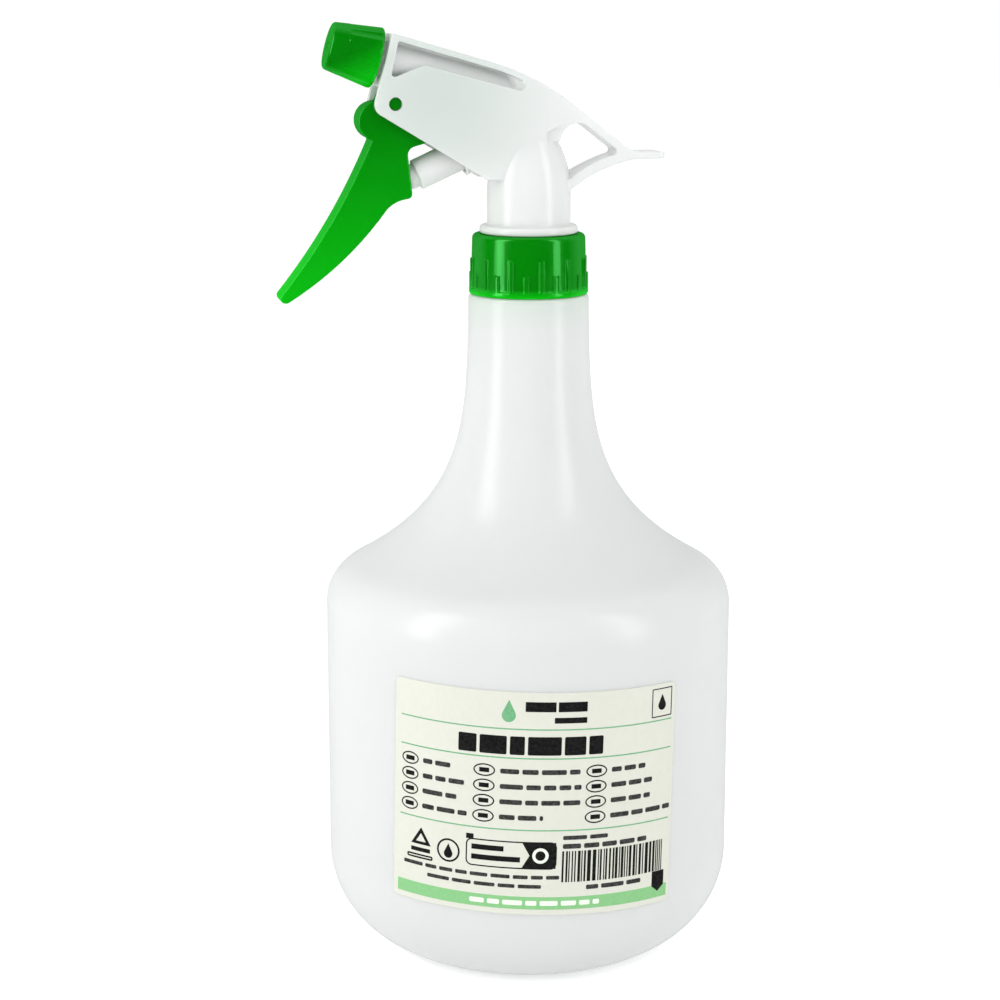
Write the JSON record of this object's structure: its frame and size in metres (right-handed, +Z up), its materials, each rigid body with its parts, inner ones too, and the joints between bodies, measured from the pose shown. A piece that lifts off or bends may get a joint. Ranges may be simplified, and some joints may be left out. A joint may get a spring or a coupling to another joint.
{
  "type": "trigger spray bottle",
  "caption": "Hand mister: a translucent round bottle with a flared shoulder, a screw collar and a trigger pump head with an adjustable tapered nozzle.",
  "frame": {"origin": "centre of the bottle's flat foot, on the surface it stands on", "axes": "+Z up along the bottle's axis; the nozzle points to -X; the head is symmetrical about the XZ plane"},
  "size_m": [0.1219, 0.1102, 0.25],
  "materials": {
    "bottle_hdpe": "translucent natural polyethylene",
    "label_film": "satin printed film",
    "green_plastic": "glossy moulded polypropylene",
    "white_plastic": "satin moulded polypropylene",
    "clear_tube": "translucent polyethylene",
    "spring_steel": "stainless",
    "soft_seal": "soft polyethylene"
  },
  "bodies": {
    "bottle": {"bottle": "bottle_hdpe", "label": "label_film"},
    "washer": {"neck_gasket": "soft_seal"},
    "collar": {"screw_collar": "green_plastic"},
    "head": {"sprayer_body": "white_plastic", "intake_stem": "white_plastic", "dip_tube": "clear_tube", "return_spring": "spring_steel", "outlet_spring": "spring_steel", "swirl_core": "white_plastic"},
    "trigger": {"trigger": "green_plastic"},
    "piston": {"piston_rod": "white_plastic", "piston_seal": "soft_seal"},
    "intake_ball": {"intake_ball": "spring_steel"},
    "outlet_ball": {"outlet_ball": "spring_steel"},
    "nozzle_carrier": {"nozzle_seal": "soft_seal"},
    "nozzle": {"nozzle_cap": "green_plastic"}
  },
  "joints": [
    {"name": "head_rise", "type": "slide", "parent": "bottle", "child": "washer", "axis": [0, 0, 1], "range_m": [0, 0.00525]},
    {"name": "collar_turn", "type": "hinge", "parent": "washer", "child": "collar", "pos_m": [0, 0, 0.187], "axis": [0, 0, 1], "range_deg": [0, 450]},
    {"name": "head_swivel", "type": "hinge", "parent": "washer", "child": "head", "pos_m": [0, 0, 0.1912], "axis": [0, 0, 1], "continuous": true},
    {"name": "trigger_pivot", "type": "hinge", "parent": "head", "child": "trigger", "pos_m": [-0.0366, 0, 0.2293], "axis": [0, -1, 0], "range_deg": [0, 22]},
    {"name": "piston_slide", "type": "slide", "parent": "head", "child": "piston", "axis": [0.9135, 0, 0.4067], "range_m": [0, 0.0077], "deforming": ["return_spring"]},
    {"name": "intake_ball_lift", "type": "slide", "parent": "head", "child": "intake_ball", "axis": [0, 0, 1], "range_m": [0, 0.002]},
    {"name": "outlet_ball_lift", "type": "slide", "parent": "head", "child": "outlet_ball", "axis": [-0.9659, 0, 0.2588], "range_m": [0, 0.001], "deforming": ["outlet_spring"]},
    {"name": "nozzle_advance", "type": "slide", "parent": "head", "child": "nozzle_carrier", "axis": [-0.9659, 0, 0.2588], "range_m": [0, 0.002]},
    {"name": "nozzle_turn", "type": "hinge", "parent": "nozzle_carrier", "child": "nozzle", "pos_m": [-0.04636, 0, 0.24235], "axis": [-0.9659, 0, 0.2588], "range_deg": [0, 360]}
  ],
  "couplings": [
    {"joint": "collar_turn", "follows": "head_rise", "rad_per_m": 1496},
    {"joint": "piston_slide", "follows": "trigger_pivot", "m_per_rad": 0.01998},
    {"joint": "nozzle_turn", "follows": "nozzle_advance", "rad_per_m": 3141.6}
  ]
}
